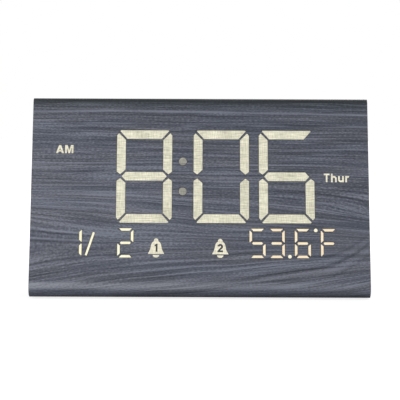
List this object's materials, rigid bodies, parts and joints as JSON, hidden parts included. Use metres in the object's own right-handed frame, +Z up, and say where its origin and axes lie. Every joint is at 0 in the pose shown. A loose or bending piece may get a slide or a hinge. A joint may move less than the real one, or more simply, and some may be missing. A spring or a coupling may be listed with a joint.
{
  "type": "digital alarm clock",
  "caption": "Wedge-shaped table alarm clock with a leaning wood-grain face that shows time, date and temperature in lit segments, set from buttons on its back.",
  "frame": {"origin": "on the ground, under the middle of the case's width and depth", "axes": "+X to the right seen from the front, +Y to the back, +Z up; the leaning face looks towards -Y"},
  "size_m": [0.21, 0.056, 0.1233],
  "materials": {
    "wood_film": "satin dark blue-grey wood-grain film",
    "fibreboard": "raw fibreboard edge",
    "block_wood": "plain sawn wood",
    "white_plastic": "matt white moulding",
    "lit_plastic": "warm white diffuser",
    "circuit_board": "green solder mask",
    "black_component": "moulded black",
    "black_plastic": "fine eroded texture",
    "button_plastic": "satin",
    "steel": "plated",
    "cell_jacket": "plain shrink sleeve",
    "ribbon": "flat grey insulation",
    "rubber": "matt"
  },
  "bodies": {
    "case": {"veneer_film": "wood_film", "left_end_film": "wood_film", "right_end_film": "wood_film", "case_shell": "fibreboard", "left_end_board": "fibreboard", "right_end_board": "fibreboard", "corner_block_1": "block_wood", "corner_block_2": "block_wood", "corner_block_3": "block_wood", "corner_block_4": "block_wood", "display_reflector": "white_plastic", "hour_tens_guide": "lit_plastic", "hour_units_guide": "lit_plastic", "colon_guide": "lit_plastic", "minute_tens_guide": "lit_plastic", "minute_units_guide": "lit_plastic", "date_guide": "lit_plastic", "temperature_guide": "lit_plastic", "led_board": "circuit_board", "main_board": "circuit_board", "control_chip": "black_component", "buzzer": "black_component", "temperature_sensor": "black_component", "power_socket": "black_component", "ribbon_cable": "ribbon", "switch_body_1": "black_component", "switch_body_2": "black_component", "switch_body_3": "black_component", "switch_body_4": "black_component", "rear_cover": "black_plastic", "rear_screw_1": "steel", "rear_screw_2": "steel", "rear_screw_3": "steel", "rear_screw_4": "steel", "display_screw_1": "steel", "display_screw_2": "steel", "display_screw_3": "steel", "display_screw_4": "steel", "board_screw_1": "steel", "board_screw_2": "steel", "negative_contact": "steel", "positive_contact": "steel", "bridge_contact_1": "steel", "bridge_contact_2": "steel", "battery_cell_1": "cell_jacket", "battery_cell_2": "cell_jacket", "battery_cell_3": "cell_jacket", "foot_1": "rubber", "foot_2": "rubber", "foot_3": "rubber", "foot_4": "rubber"},
    "button_1": {"button_1": "button_plastic", "switch_plunger_1": "button_plastic"},
    "button_2": {"button_2": "button_plastic", "switch_plunger_2": "button_plastic"},
    "button_3": {"button_3": "button_plastic", "switch_plunger_3": "button_plastic"},
    "button_4": {"button_4": "button_plastic", "switch_plunger_4": "button_plastic"},
    "battery_door": {"battery_door": "black_plastic"}
  },
  "joints": [
    {"name": "button_1_press", "type": "slide", "parent": "case", "child": "button_1", "axis": [0, -1, 0], "range_m": [0, 0.0006], "stiffness_N_per_m": 1500},
    {"name": "button_2_press", "type": "slide", "parent": "case", "child": "button_2", "axis": [0, -1, 0], "range_m": [0, 0.0006], "stiffness_N_per_m": 1500},
    {"name": "button_3_press", "type": "slide", "parent": "case", "child": "button_3", "axis": [0, -1, 0], "range_m": [0, 0.0006], "stiffness_N_per_m": 1500},
    {"name": "button_4_press", "type": "slide", "parent": "case", "child": "button_4", "axis": [0, -1, 0], "range_m": [0, 0.0006], "stiffness_N_per_m": 1500},
    {"name": "battery_door_hinge", "type": "hinge", "parent": "case", "child": "battery_door", "pos_m": [0, 0.027, 0.02005], "axis": [-1, 0, 0], "range_deg": [0, 80]}
  ]
}
